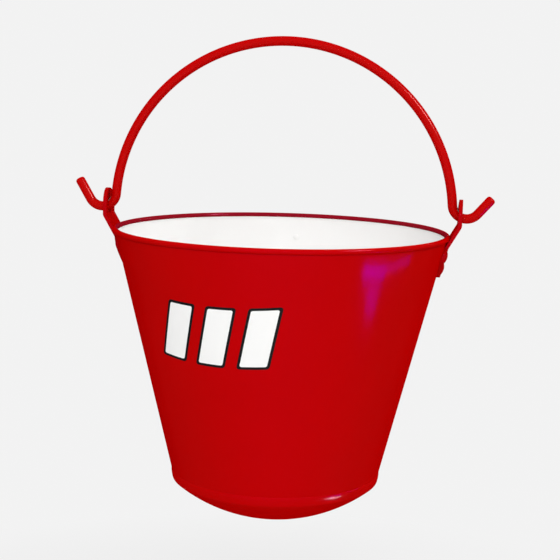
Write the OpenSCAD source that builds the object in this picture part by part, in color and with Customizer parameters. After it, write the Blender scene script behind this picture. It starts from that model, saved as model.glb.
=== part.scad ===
// Round-bottomed steel fire bucket that hangs by its bail.
// The origin is the underside of the bail at the top of its arch, where a hook carries it.
// X runs from ear to ear, the front faces -Y and +Z is up. Lengths are in millimetres.

/* [Wall] */
// Radius of the wall's outer face at the middle of the rim bead
rim_r = 140; // [125:1:155]
// Radius of the wall's outer face at its foot
foot_r = 88; // [75:1:100]
// Height of the wall, from its foot to the middle of the rim bead
wall_h = 212; // [180:1:240]
// Thickness of the steel sheet of the wall and the bottom
sheet_t = 1; // [0.8:0.1:1.4]

/* [Rim] */
// Diameter of the wire rolled into the rim
wire_d = 2.5; // [2:0.1:3.5]
// How far the rim bead stands out from the wall
bead_proud = 1.8; // [1.4:0.1:2.4]
// Width of the slit where the curled edge meets the wall again
curl_slit = 0.3; // [0.2:0.05:0.5]

/* [Bottom] */
// Depth of the dished bottom below the foot of the wall
dish_d = 34; // [24:1:44]
// Inside radius of the bend between the dish and its upturned edge
knuckle_r = 2; // [1.5:0.1:3]
// Height of the upturned edge that laps the foot of the wall
edge_h = 7; // [5:0.5:10]

/* [Side seam] */
// Width of the lap where the two ends of the wall sheet meet at the back
lap_w = 16; // [13:1:22]
// Width of the slope by which the outer end of the sheet steps over the inner one
lap_step_w = 4; // [3:0.5:6]
// Number of rivets down the seam
seam_rivet_n = 6; // [4:1:8]
// Distance from the rim to the first seam rivet, and from the last one to the foot
seam_rivet_inset = 20; // [16:1:28]
// Radius of a seam rivet's shank
seam_shank_r = 1.6; // [1.2:0.1:2]
// Radius of a seam rivet's outer head
seam_head_r = 3.4; // [3:0.1:4]
// Height of a seam rivet's outer head
seam_head_h = 1.2; // [0.8:0.1:1.6]

/* [Ears] */
// Thickness of the plate of an ear
ear_t = 3; // [2.5:0.1:3.5]
// Radius of the round eye at the top of an ear
eye_r = 15; // [13:0.5:17]
// Height of the hole in the eye above the middle of the rim bead
eye_rise = 17; // [16:0.5:20]
// How far the flat of the eye reaches below the edge of its hole
eye_flat = 0.5; // [0:0.25:1.5]
// Gap between the neck of an ear and the rim bead it steps over
neck_gap = 0.2; // [0.1:0.1:0.4]
// Radius of the bends in an ear, at the middle of its plate
ear_bend_r = 4; // [3:0.5:5]
// Radius of the three round lobes around the rivets
lobe_r = 8; // [7:0.5:9]
// Distance between the two upper rivets
ear_rivet_gap = 22; // [18:1:26]
// Depth of the upper rivets below the middle of the rim bead
upper_rivet_drop = 15; // [15:0.5:17]
// Depth of the lower rivet below the middle of the rim bead
lower_rivet_drop = 26; // [25:1:32]
// Radius of an ear rivet's shank
ear_shank_r = 2.2; // [1.8:0.1:2.6]
// Radius of an ear rivet's outer head
ear_head_r = 4.5; // [4:0.1:5]
// Height of an ear rivet's outer head
ear_head_h = 1.8; // [1.2:0.1:2.4]

/* [Rivets] */
// Gap between a rivet's shank and its hole
rivet_fit = 0.05; // [0.02:0.01:0.1]
// How much smaller a rivet's inner head is in radius than its outer head
inner_head_less = 0.6; // [0.4:0.1:0.8]
// Height of a rivet's hammered inner head
inner_head_h = 1; // [0.8:0.1:1.2]
// How far the inner head stands off the curve of the wall
head_seat = 0.1; // [0.08:0.01:0.15]

/* [Bail] */
// Radius of the bail's round rod
rod_r = 4; // [3.5:0.1:4.5]
// How much wider the arch is in radius than the wall at the rim, at the middle of the rod
arch_over = 3; // [2.5:0.1:4]
// Height of the ear holes above the centre of the arch
arch_drop = 1.5; // [0:0.5:4]
// Radius of the bend that hooks the rod through the ear, at the middle of the rod
hook_r = 12; // [12:0.5:14]
// Slope at which the rod passes through the ear
cross_slope = 23; // [18:1:25]
// Gap between the rod and the hole in the ear, where they are closest
hole_gap = 0.5; // [0.3:0.1:0.8]
// Rise of the left hook above the level
hook_left_angle = 60; // [45:1:75]
// Rise of the right hook above the level
hook_right_angle = 49; // [40:1:75]
// Straight length of the left hook
hook_left_l = 20; // [12:1:24]
// Straight length of the right hook
hook_right_l = 18; // [12:1:24]
// Rounding of the cut ends of the rod
end_round = 1.5; // [0.5:0.1:2]

/* [Hidden] */

$fn = 96;
enamel_red = [0.72, 0, 0];
bare_steel = [0.55, 0.56, 0.58];
bend_steps = 6;
// A length that is longer than any part of the bucket, for cutting shapes
beyond = 2 * (rim_r + wall_h);
// A small overlap that joins two shapes cleanly
bite = 0.02;
// How far the straight sides of an ear's outline cut inside its lobes, so that they cross
side_ease = 0.05;
// Half the turn over which the plate of an ear is swept before its outline is cut
ear_half_sweep = 30;
// Half the length of the shapes that cut the rivet holes
rivet_hole_half = 10;
// Length of the hair-thin bands that close the rod where two stretches meet
join_l = 0.2;

// Bail and hinge line
arch_r = rim_r + arch_over;
arch_z = rod_r - arch_r;
hinge_z = arch_z + arch_drop;
hook_rise = hook_r * cos(cross_slope);
hook_run = hook_r * sin(cross_slope);
leg_angle = asin((arch_drop + hook_rise) / (arch_r + hook_r));
hook_centre = [(arch_r + hook_r) * cos(leg_angle), hinge_z + hook_rise];
eye_x = hook_centre[0] - hook_run - ear_t / 2;

// The bent rod reaches furthest from the hinge line above it at the ear's inner face,
// and below it at the outer face, so the hole clears both
reach_up = hook_rise - sqrt(pow(hook_r - rod_r, 2) - pow(hook_run + ear_t / 2, 2));
reach_down = sqrt(pow(hook_r + rod_r, 2) - pow(hook_run - ear_t / 2, 2)) - hook_rise;
hole_r = max(reach_up, reach_down) + hole_gap;

// Wall
rim_z = hinge_z - eye_rise;
foot_z = rim_z - wall_h;
taper = (rim_r - foot_r) / wall_h;
wall_lean = atan(taper);
wall_up = [sin(wall_lean), cos(wall_lean)];
wall_out = [cos(wall_lean), -sin(wall_lean)];
foot = [foot_r, foot_z];
rim = [rim_r, rim_z];

// Rim bead
wire_r = wire_d / 2;
bead_r = wire_r + sheet_t;
bead = [rim_r + bead_proud - bead_r, rim_z];

// Bottom: the bend at its edge runs smoothly into a ball-shaped dish
knuckle_out_r = knuckle_r + sheet_t;
knuckle = foot - wall_out * knuckle_r;
dish_low_z = foot_z - dish_d;
dish_half_angle = 2 * atan((knuckle[1] - dish_low_z - knuckle_out_r) / knuckle[0]);
dish_r = knuckle[0] / sin(dish_half_angle) + knuckle_out_r;
dish_centre = [0, dish_low_z + dish_r];

// Side seam
lap_top_drop = bead_r + 2 * sheet_t;
lap_foot_drop = wall_h - (edge_h + sheet_t / 2) * cos(wall_lean);
seam_pitch = (wall_h - 2 * seam_rivet_inset) / (seam_rivet_n - 1);

// Ear: from the rivets up the wall, out past the bead and up to the eye
eye_foot = [eye_x + ear_t / 2, hinge_z - hole_r - eye_flat];
neck_clear = bead_r + neck_gap + ear_t / 2;
neck_way = bead - eye_foot;
neck_turn = asin(neck_clear / norm(neck_way));
neck_dir = turned(neck_way / norm(neck_way), neck_turn);
wall_mid = rim + wall_out * ear_t / 2;
neck_run = ((wall_mid[0] - eye_foot[0]) * wall_up[1] - (wall_mid[1] - eye_foot[1]) * wall_up[0])
         / (neck_dir[0] * wall_up[1] - neck_dir[1] * wall_up[0]);
neck_foot = eye_foot + neck_dir * neck_run;
lobe_low_drop = lower_rivet_drop + lobe_r;
ear_foot = wall_mid - wall_up * (lobe_low_drop + ear_t) / cos(wall_lean);
ear_top = [eye_foot[0], hinge_z + eye_r + ear_t];
ear_rivet_places = [[-ear_rivet_gap / 2, upper_rivet_drop],
                    [ear_rivet_gap / 2, upper_rivet_drop],
                    [0, lower_rivet_drop]];

// The direction v turned anticlockwise by angle a
function turned(v, a) = [v[0] * cos(a) - v[1] * sin(a), v[0] * sin(a) + v[1] * cos(a)];

// The direction at a right angle to v, on its left
function left_of(v) = [-v[1], v[0]];

// Points of one face of a bent plate where its path p, q, s turns at q,
// with bend radius r at the middle of the plate and the face at distance e to the left
function bend_points(p, q, s, r, e) =
    let (u = (q - p) / norm(q - p),
         w = (s - q) / norm(s - q),
         turn = atan2(u[0] * w[1] - u[1] * w[0], u * w),
         side = sign(turn),
         centre = q - u * r * tan(abs(turn) / 2) + left_of(u) * side * r)
    [for (i = [0 : bend_steps])
        centre - turned(left_of(u) * side, turn * i / bend_steps) * (r - side * e)];

// One whole face of the ear's bent plate, from the wall up to the eye
function ear_face(e) = concat(
    [ear_foot + left_of(wall_up) * e],
    bend_points(ear_foot, neck_foot, eye_foot, ear_bend_r, e),
    bend_points(neck_foot, eye_foot, ear_top, ear_bend_r, e),
    [ear_top + [-e, 0]]);

function reversed(list) = [for (i = [len(list) - 1 : -1 : 0]) list[i]];

// Radius of the wall's outer face at a depth below the rim
function wall_r_at(drop) = rim_r - taper * drop;

// Turn about the bucket's axis that brings a point at a depth to a place along the curve
function wall_turn(along, drop) = asin(along / wall_r_at(drop));

// A wedge of the plane at p, between the directions d1 and d2
module wedge(p, d1, d2) {
    middle = (d1 + d2) / norm(d1 + d2);
    polygon([p, p + d1 * beyond, p + middle * beyond * 2, p + d2 * beyond]);
}

// A ring in the plane, of outer radius r and the sheet's thickness, centred at p
module sheet_ring(p, r) {
    translate(p) difference() {
        circle(r);
        circle(r - sheet_t);
    }
}

// Puts its child on the wall's outer face, with the child's +Z pointing straight out of it
module on_wall(turn, drop) {
    rotate([0, 0, turn])
        translate([wall_r_at(drop), 0, rim_z - drop])
            rotate([0, 90 + wall_lean, 0])
                children();
}

// The cap of a ball, standing on the plane z = 0
module dome(r, h) {
    ball_r = (r * r + h * h) / (2 * h);
    intersection() {
        translate([0, 0, h - ball_r]) sphere(ball_r);
        cylinder(r = r + bite, h = h + bite);
    }
}

// A rivet that holds the layers from z = -below to z = above
module rivet(shank_r, head_r, head_h, above, below) {
    translate([0, 0, above]) dome(head_r, head_h);
    translate([0, 0, -below - head_seat - bite])
        cylinder(r = shank_r, h = above + below + head_seat + 2 * bite);
    translate([0, 0, -below - head_seat]) mirror([0, 0, 1])
        dome(head_r - inner_head_less, inner_head_h);
}

module rivet_hole(shank_r) {
    cylinder(r = shank_r + rivet_fit, h = 2 * rivet_hole_half, center = true);
}

module at_seam_rivets() {
    for (i = [0 : seam_rivet_n - 1])
        on_wall(90, seam_rivet_inset + i * seam_pitch) children();
}

module at_ear_rivets() {
    for (p = ear_rivet_places)
        on_wall(wall_turn(p[0], p[1]), p[1]) children();
}

module at_left() {
    mirror([1, 0, 0]) children();
}

// The wall sheet, wrapped into a cone, curled over the rim wire and lapped at the back
module wall_sheet() {
    color(enamel_red) difference() {
        union() {
            rotate_extrude() wall_profile();
            seam_lap();
        }
        at_seam_rivets() rivet_hole(seam_shank_r);
        at_ear_rivets() rivet_hole(ear_shank_r);
        at_left() at_ear_rivets() rivet_hole(ear_shank_r);
    }
}

module wall_profile() {
    difference() {
        union() {
            polygon([foot, rim, rim - wall_out * sheet_t, foot - wall_out * sheet_t]);
            translate(bead) circle(bead_r);
        }
        translate(bead) circle(wire_r);
        slit_end = rim - wall_up * (bead_r + sheet_t);
        polygon([slit_end, slit_end + wall_out * curl_slit, rim + wall_out * curl_slit, rim]);
    }
}

// The outer end of the sheet, one thickness out, with a slope on the side it comes from
module seam_lap() {
    lap_top = rim - wall_up * lap_top_drop / cos(wall_lean);
    lap_foot = rim - wall_up * lap_foot_drop / cos(wall_lean);
    slope = atan(sheet_t / lap_step_w);
    difference() {
        intersection() {
            rotate_extrude()
                polygon([lap_foot - wall_out * bite, lap_foot + wall_out * sheet_t,
                         lap_top + wall_out * sheet_t, lap_top - wall_out * bite]);
            translate([-lap_w / 2 - lap_step_w, 0, foot_z])
                cube([lap_w + lap_step_w, rim_r + bead_proud, wall_h]);
        }
        // The slope starts one sheet out at the edge of the lap and meets the wall at its end
        on_wall(90, wall_h / 2)
            translate([0, lap_w / 2, sheet_t])
                rotate([-slope, 0, 0])
                    translate([-beyond / 2, 0, 0])
                        cube([beyond, 2 * lap_step_w, 2 * sheet_t]);
    }
}

// The wire inside the rolled rim
module rim_wire() {
    color(bare_steel) rotate_extrude() translate(bead) circle(wire_r);
}

// The dished bottom, whose edge turns up outside the foot of the wall
module bottom_pan() {
    dish_edge = [sin(dish_half_angle), -cos(dish_half_angle)];
    color(enamel_red) rotate_extrude() {
        intersection() {
            sheet_ring(dish_centre, dish_r);
            wedge(dish_centre, [0, -1], dish_edge);
        }
        intersection() {
            sheet_ring(knuckle, knuckle_out_r);
            wedge(knuckle, dish_edge, wall_out);
        }
        edge_foot = foot - wall_up * bite;
        edge_top = foot + wall_up * edge_h;
        polygon([edge_foot, edge_foot + wall_out * sheet_t, edge_top + wall_out * sheet_t, edge_top]);
    }
}

// The rivets down the lapped seam
module seam_rivets() {
    color(enamel_red) at_seam_rivets()
        rivet(seam_shank_r, seam_head_r, seam_head_h, sheet_t, sheet_t);
}

// Outline of an ear as seen from its side: an eye, a strap and three lobes for the rivets
module ear_outline() {
    lower = [0, rim_z - lower_rivet_drop];
    upper = [ear_rivet_gap / 2, rim_z - upper_rivet_drop];
    side = (upper - lower) / norm(upper - lower);
    out = left_of(side) * (side_ease - lobe_r);
    half = [lower + out, upper + out, upper + [0, lobe_r / 2]];
    translate([0, hinge_z]) circle(eye_r);
    translate([-eye_r, upper[1]]) square([2 * eye_r, hinge_z - upper[1]]);
    polygon(concat(half, reversed([for (p = half) [-p[0], p[1]]])));
    translate(lower) circle(lobe_r);
    for (s = [-1, 1]) translate([s * upper[0], upper[1]]) circle(lobe_r);
}

// The right ear: a plate curved to the wall, bent out over the bead and up to its eye
module ear() {
    color(enamel_red) difference() {
        intersection() {
            rotate([0, 0, -ear_half_sweep])
                rotate_extrude(angle = 2 * ear_half_sweep)
                    polygon(concat(ear_face(-ear_t / 2), reversed(ear_face(ear_t / 2))));
            rotate([90, 0, 90]) linear_extrude(beyond) ear_outline();
        }
        translate([0, 0, hinge_z]) rotate([0, 90, 0]) cylinder(r = hole_r, h = beyond);
        at_ear_rivets() rivet_hole(ear_shank_r);
    }
}

module ear_right() {
    ear();
}

module ear_left() {
    at_left() ear();
}

// The three rivets that hold one ear to the wall
module ear_rivets() {
    color(enamel_red) at_ear_rivets()
        rivet(ear_shank_r, ear_head_r, ear_head_h, ear_t, sheet_t);
}

module ear_rivets_right() {
    ear_rivets();
}

module ear_rivets_left() {
    at_left() ear_rivets();
}

// A bend of the rod in the X-Z plane, of radius r about p, from angle a over sweep
module rod_bend(p, r, a, sweep) {
    translate([p[0], 0, p[1]])
        rotate([90, -a, 0])
            rotate_extrude(angle = sweep) translate([r, 0]) circle(rod_r);
}

// A straight stretch of the rod in the X-Z plane, from p, at angle a, with a rounded end
module rod_end(p, a, l) {
    translate([p[0], 0, p[1]])
        rotate([0, 90 - a, 0])
            rotate_extrude() {
                square([rod_r, l - end_round]);
                square([rod_r - end_round, l]);
                translate([rod_r - end_round, l - end_round]) circle(end_round);
            }
}

// A hair-thin band that closes the rod where two stretches meet at p, running at angle a
module rod_join(p, a) {
    translate([p[0], 0, p[1]])
        rotate([0, 90 - a, 0])
            cylinder(r = rod_r + bite, h = join_l, center = true);
}

// One side of the bail, from the arch's leg out through the ear and up to the hook's end
module bail_side(hook_angle, hook_l) {
    hook_end = hook_centre + hook_r * [sin(hook_angle), -cos(hook_angle)];
    rod_join([arch_r * cos(leg_angle), arch_z + arch_r * sin(leg_angle)], 90 + leg_angle);
    rod_join(hook_end, hook_angle);
    rod_bend(hook_centre, hook_r, 180 + leg_angle, 90 - leg_angle + hook_angle);
    rod_end(hook_end, hook_angle, hook_l);
}

// The bail: one round rod, bent to an arch with a hook at each end
module bail() {
    color(enamel_red) {
        rod_bend([0, arch_z], arch_r, leg_angle, 180 - 2 * leg_angle);
        bail_side(hook_right_angle, hook_right_l);
        at_left() bail_side(hook_left_angle, hook_left_l);
    }
}

wall_sheet();
rim_wire();
bottom_pan();
seam_rivets();
ear_left();
ear_right();
ear_rivets_left();
ear_rivets_right();
bail();
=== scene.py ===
# %% [markdown]
# # A round-bottomed fire bucket
# This lesson dresses a steel bucket that hangs by its bail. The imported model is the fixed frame:
# every piece made here sits on it, in metres. The origin is the underside of the bail at the top of
# its arch, X runs from ear to ear, and the front of the bucket faces -Y.

# %% Load the frame
import math
import bpy
from mathutils import Matrix, Vector


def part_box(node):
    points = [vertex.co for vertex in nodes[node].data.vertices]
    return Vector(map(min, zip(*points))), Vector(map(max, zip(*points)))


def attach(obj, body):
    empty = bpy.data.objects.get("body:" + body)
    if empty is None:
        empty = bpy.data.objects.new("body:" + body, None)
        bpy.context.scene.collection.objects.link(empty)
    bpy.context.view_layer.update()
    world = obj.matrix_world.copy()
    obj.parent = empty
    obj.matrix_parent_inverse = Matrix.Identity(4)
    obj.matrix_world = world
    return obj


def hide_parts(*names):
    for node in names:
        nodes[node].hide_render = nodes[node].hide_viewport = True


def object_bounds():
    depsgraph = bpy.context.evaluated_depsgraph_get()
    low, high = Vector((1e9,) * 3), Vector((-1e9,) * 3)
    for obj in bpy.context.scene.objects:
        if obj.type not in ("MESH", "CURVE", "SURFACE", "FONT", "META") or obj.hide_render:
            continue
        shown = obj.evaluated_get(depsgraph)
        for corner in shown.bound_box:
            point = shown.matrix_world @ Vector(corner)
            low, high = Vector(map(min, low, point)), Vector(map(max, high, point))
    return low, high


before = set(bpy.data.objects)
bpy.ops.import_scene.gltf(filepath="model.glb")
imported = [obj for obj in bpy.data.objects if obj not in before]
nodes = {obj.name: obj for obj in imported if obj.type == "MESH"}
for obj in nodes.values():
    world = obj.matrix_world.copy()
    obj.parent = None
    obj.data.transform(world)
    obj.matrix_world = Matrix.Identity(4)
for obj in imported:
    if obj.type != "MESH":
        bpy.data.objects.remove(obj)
cad_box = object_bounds()
MM = 0.001
print("nodes of the frame:", sorted(nodes))

# %% [markdown]
# ## Sizes that the looks need
# A steel bucket is a few simple surfaces: a cone, a rolled edge and a shallow ball. Their sizes could
# be typed in again, but then they could disagree with the frame. So they are measured on the nodes,
# and only what a node's box can't tell, such as a bend's radius, is a value of its own.

# %% Sizes of the wall and its rim
wire_low, wire_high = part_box("rim_wire")
wall_low, wall_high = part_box("wall_sheet")
pan_low, pan_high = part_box("bottom_pan")
BEAD_PROUD = 1.8 * MM
FOOT_NEAR = 0.01 * MM
SHEET_T = wall_high.z - wire_high.z
WIRE_R = (wire_high.z - wire_low.z) / 2
RIM_Z = (wire_high.z + wire_low.z) / 2
FOOT_Z = wall_low.z
RIM_R = wall_high.x - BEAD_PROUD
foot_ring = [v.co for v in nodes["wall_sheet"].data.vertices if v.co.z < FOOT_Z + FOOT_NEAR]
FOOT_R = max(math.hypot(p.x, p.y) for p in foot_ring)
print("rim radius", round(RIM_R, 4), "foot radius", round(FOOT_R, 4), "sheet", round(SHEET_T, 4))

# %% Directions on the wall, as (radius, height) pairs
WALL_LEAN = math.atan((RIM_R - FOOT_R) / (RIM_Z - FOOT_Z))
WALL_UP = Vector((math.sin(WALL_LEAN), math.cos(WALL_LEAN)))
WALL_OUT = Vector((math.cos(WALL_LEAN), -math.sin(WALL_LEAN)))
RIM = Vector((RIM_R, RIM_Z))
FOOT = Vector((FOOT_R, FOOT_Z))


def wall_radius(drop):
    """Radius of the wall's outer face at a depth below the rim."""
    return RIM_R - math.tan(WALL_LEAN) * drop


print("the wall leans", round(math.degrees(WALL_LEAN), 2), "degrees")

# %% [markdown]
# ## The camera
# The photograph was taken from close by, a little above the rim, and its bucket leans slightly to the
# right. The camera could look from further off with a longer lens, but then the foot would look too
# wide for the rim. So it stands 1.1 m away, and its roll gives the lean.

# %% Set the camera
CAMERA_DISTANCE = 1.10
CAMERA_AZIMUTH = 6.0
CAMERA_OVER_RIM = 6.3
CAMERA_ROLL = 1.5
LENS = 84.0
SENSOR = 36.0

azimuth = math.radians(CAMERA_AZIMUTH)
camera_place = Vector((CAMERA_DISTANCE * math.sin(azimuth), -CAMERA_DISTANCE * math.cos(azimuth),
                       RIM_Z + CAMERA_DISTANCE * math.tan(math.radians(CAMERA_OVER_RIM))))
aim = Vector((0.0, 0.0, (cad_box[0].z + cad_box[1].z) / 2))
looking = (aim - camera_place).to_track_quat("-Z", "Y")
rolled = Matrix.Rotation(math.radians(CAMERA_ROLL), 4, "Z").to_quaternion()
camera_data = bpy.data.cameras.new("photo_camera")
camera_data.lens = LENS
camera_data.sensor_width = SENSOR
camera = bpy.data.objects.new("photo_camera", camera_data)
bpy.context.scene.collection.objects.link(camera)
camera.rotation_mode = "QUATERNION"
camera.location = camera_place
camera.rotation_quaternion = looking @ rolled
bpy.context.scene.camera = camera
print("camera at", [round(x, 3) for x in camera_place])

# %% [markdown]
# ## Hands for modelling
# Most of the bucket is turned work: a section line swept round an axis. By hand that is one vertex,
# extruded along the section and then spun. These few helpers do just that with Blender's own
# operators, so each piece below is only its section and its finish.

# %% Helpers for edit mode
def pick(piece):
    """Deselect everything and make one piece the selected and active one."""
    bpy.ops.object.select_all(action="DESELECT")
    bpy.context.view_layer.objects.active = piece
    piece.select_set(True)


def edit(piece):
    """Open a piece in edit mode with nothing selected."""
    pick(piece)
    bpy.ops.object.mode_set(mode="EDIT")
    bpy.ops.mesh.select_mode(type="VERT")
    bpy.ops.mesh.select_all(action="DESELECT")


def select_all():
    bpy.ops.mesh.select_all(action="SELECT")


def edit_all(piece):
    """Open a piece in edit mode with all of it selected."""
    edit(piece)
    select_all()


def leave_edit():
    bpy.ops.object.mode_set(mode="OBJECT")


def leave_facing_out():
    """Turn all faces of the piece in edit mode outwards, and leave edit mode."""
    select_all()
    bpy.ops.mesh.normals_make_consistent(inside=False)
    leave_edit()


def select_where(piece, test):
    """Select the vertices of a piece, open in edit mode, that pass a test."""
    leave_edit()
    chosen = [vertex for vertex in piece.data.vertices if test(vertex)]
    for vertex in chosen:
        vertex.select = True
    bpy.ops.object.mode_set(mode="EDIT")
    return len(chosen)


print("helpers for edit mode are ready")

# %% Helpers for whole pieces
def apply_place(piece):
    """Put the piece's place into its mesh, so that its object sits at the origin."""
    pick(piece)
    bpy.ops.object.transform_apply(location=True, rotation=True, scale=True)


def finish_modifier(piece, kind, **settings):
    """Add a modifier, give it its settings and apply it."""
    pick(piece)
    bpy.ops.object.modifier_add(type=kind)
    modifier = piece.modifiers[-1]
    for name, value in settings.items():
        setattr(modifier, name, value)
    bpy.ops.object.modifier_apply(modifier=modifier.name)


def give_thickness(piece, thickness, offset=0):
    """Make a sheet solid, to both sides of its faces, or to the outside with an offset of 1."""
    finish_modifier(piece, "SOLIDIFY", thickness=thickness, offset=offset, use_even_offset=True)


def soften(piece, width, segments, above):
    """Round the edges that bend by more than an angle, in degrees."""
    finish_modifier(piece, "BEVEL", width=width, segments=segments, limit_method="ANGLE",
                    angle_limit=math.radians(above))


SMOOTH_BELOW = math.radians(35)


def smooth(piece):
    pick(piece)
    bpy.ops.object.shade_smooth_by_angle(angle=SMOOTH_BELOW)


def report(piece):
    size = [round(d / MM, 1) for d in piece.dimensions]
    print(piece.name, "has", len(piece.data.polygons), "faces and measures", size, "mm")


print("edges that bend by less than", round(math.degrees(SMOOTH_BELOW)), "degrees are shaded smooth")

# %% Helpers for turned pieces
WELD = 0.001 * MM


def trace(name, points):
    """A line of vertices through (radius, height) points, extruded from one vertex."""
    start = points[0]
    bpy.ops.object.select_all(action="DESELECT")
    bpy.ops.mesh.primitive_plane_add(size=MM, location=(start[0], 0, start[1]))
    piece = bpy.context.object
    piece.name = name
    apply_place(piece)
    edit_all(piece)
    bpy.ops.mesh.merge(type="CENTER")
    for here, there in zip(points, points[1:]):
        step = (there[0] - here[0], 0, there[1] - here[1])
        bpy.ops.mesh.extrude_vertices_move(TRANSFORM_OT_translate={"value": step})
    leave_edit()
    return piece


def turn_round(piece, steps):
    """Spin a traced section a full turn about the Z axis and weld its seam and poles."""
    edit_all(piece)
    bpy.ops.mesh.spin(steps=steps, angle=2 * math.pi, center=(0, 0, 0), axis=(0, 0, 1))
    select_all()
    bpy.ops.mesh.remove_doubles(threshold=WELD)
    leave_facing_out()


def arc(centre, radius, start, end, steps):
    """Points on an arc from one angle to another, in degrees, both ends included."""
    angles = [math.radians(start + (end - start) * i / steps) for i in range(steps + 1)]
    return [Vector((centre[0] + radius * math.cos(a), centre[1] + radius * math.sin(a))) for a in angles]


def spin_on(steps, degrees, centre=(0, 0, 0), axis=(0, 0, 1)):
    """Spin what is selected, anticlockwise as seen with the axis pointing at the eye."""
    against = [-a for a in axis]
    bpy.ops.mesh.spin(steps=steps, angle=math.radians(degrees), center=centre, axis=against)


print("helpers for turned pieces are ready")

# %% [markdown]
# ## The wall
# The wall is one steel sheet, wrapped into a cone, with its top edge rolled round a wire. It could be
# a cone and a torus, but they would show a line where they meet. The sheet is traced as its middle
# line instead: up the wall, a soft bend inwards, most of the way round the wire. Then it gets its
# thickness.

# %% Trace the wall's section
BEAD = Vector((wall_high.x - WIRE_R - SHEET_T, RIM_Z))
CURL_R = WIRE_R + SHEET_T / 2
CURL_START = 215
CURL_END = -90
CURL_STEPS = 36
NECK_STEPS = 6
WALL_ROWS = 12
TURN_STEPS = 192


def meet(p, u, q, v):
    """The point where the line through p along u crosses the line through q along v."""
    w = q - p
    return p + u * ((w.x * v.y - w.y * v.x) / (u.x * v.y - u.y * v.x))


def bend(p, corner, q, radius, steps):
    """Points of the arc that rounds the corner of the path p, corner, q."""
    u = (corner - p).normalized()
    v = (q - corner).normalized()
    turn = math.atan2(u.x * v.y - u.y * v.x, u.dot(v))
    side = math.copysign(1, turn)
    left = Vector((-u.y, u.x))
    centre = corner - u * radius * math.tan(abs(turn) / 2) + left * side * radius
    start = math.degrees(math.atan2(-left.y * side, -left.x * side))
    return arc(centre, radius, start, start + math.degrees(turn), steps)


wall_foot = FOOT - WALL_OUT * SHEET_T / 2
curl = arc(BEAD, CURL_R, CURL_START, CURL_END, CURL_STEPS)
curl_way = (curl[0] - BEAD).orthogonal().normalized()
curl_way = curl_way if curl_way.y > 0 else -curl_way
neck_corner = meet(wall_foot, WALL_UP, curl[0], curl_way)
neck_r = (neck_corner - curl[0]).length / math.tan(WALL_UP.angle(curl_way) / 2)
neck = bend(wall_foot, neck_corner, curl[0], neck_r, NECK_STEPS)
wall_line = [wall_foot + (neck[0] - wall_foot) * i / WALL_ROWS for i in range(WALL_ROWS)]
print("the neck under the rim bends at", round(neck_r / MM, 2), "mm")

# %% Spin the wall and give it its thickness
wall_shell = trace("wall_shell", wall_line + neck + curl[1:])
turn_round(wall_shell, TURN_STEPS)
give_thickness(wall_shell, SHEET_T)
smooth(wall_shell)
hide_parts("wall_sheet")
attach(wall_shell, "bucket")
report(wall_shell)

# %% [markdown]
# ## The bottom
# The bottom is pressed from one disc: a shallow ball that ends in a tight bend, and an edge that turns
# up outside the foot of the wall. A squashed sphere would have no such edge. The section is traced from
# the pole outwards, so the ball, the bend and the edge run into each other smoothly. On a painted bucket
# the step at the top of that edge is filled. A bevel would still leave a line there, so the rows of the
# edge are scaled a little towards the axis, and it runs out thin on the wall.

# %% Trace and spin the bottom
KNUCKLE_R = 2.0 * MM
DISH_STEPS = 40
KNUCKLE_STEPS = 10
EDGE_STEPS = 3
knuckle = FOOT - WALL_OUT * KNUCKLE_R
knuckle_out = KNUCKLE_R + SHEET_T
dish_half = 2 * math.atan((knuckle.y - pan_low.z - knuckle_out) / knuckle.x)
dish_r = knuckle.x / math.sin(dish_half) + knuckle_out
dish_centre = Vector((0, pan_low.z + dish_r))
edge_h = (pan_high.z - FOOT_Z) / math.cos(WALL_LEAN)
dish_end = -90 + math.degrees(dish_half)
dish_line = arc(dish_centre, dish_r - SHEET_T / 2, -90, dish_end, DISH_STEPS)
bend_line = arc(knuckle, KNUCKLE_R + SHEET_T / 2, dish_end, -math.degrees(WALL_LEAN), KNUCKLE_STEPS)
edge_foot = FOOT + WALL_OUT * SHEET_T / 2
edge_line = [edge_foot + WALL_UP * edge_h * i / EDGE_STEPS for i in range(1, EDGE_STEPS + 1)]
bottom_shell = trace("bottom_shell", dish_line + bend_line[1:] + edge_line)
turn_round(bottom_shell, TURN_STEPS)
give_thickness(bottom_shell, SHEET_T)
print("the dish is part of a ball of radius", round(dish_r / MM, 1), "mm")

# %% Thin the edge towards its top
THINNER = {edge_h + SHEET_T / 2: 0.85 * MM, edge_h * 2 / 3: 0.3 * MM, edge_h / 3: 0.05 * MM}
ROW_NEAR = 0.3 * MM


def near_row(vertex, row):
    """Is a vertex on the outer face, at one row of the turned-up edge?"""
    radius = math.hypot(vertex.co.x, vertex.co.y)
    return abs(radius - row.x) < ROW_NEAR and abs(vertex.co.z - row.y) < ROW_NEAR * 2


edit(bottom_shell)
for along, thinner in THINNER.items():
    row = FOOT + WALL_OUT * SHEET_T + WALL_UP * along
    bpy.ops.mesh.select_all(action="DESELECT")
    count = select_where(bottom_shell, lambda v: near_row(v, row))
    scale = (row.x - thinner) / row.x
    bpy.ops.transform.resize(value=(scale, scale, 1), center_override=(0, 0, 0))
    print("a row of", count, "vertices is thinned by", round(thinner / MM, 2), "mm")
leave_edit()
smooth(bottom_shell)
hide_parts("bottom_pan")
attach(bottom_shell, "bucket")
report(bottom_shell)

# %% [markdown]
# ## The side seam
# At the back the two ends of the sheet lap over each other, and the outer end stands one thickness
# proud. It could be a groove in the bump, but its edge catches the light and casts a shadow. So it is
# a strip of the cone, raised off the wall, with a slope where the sheet steps over its other end.

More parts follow.
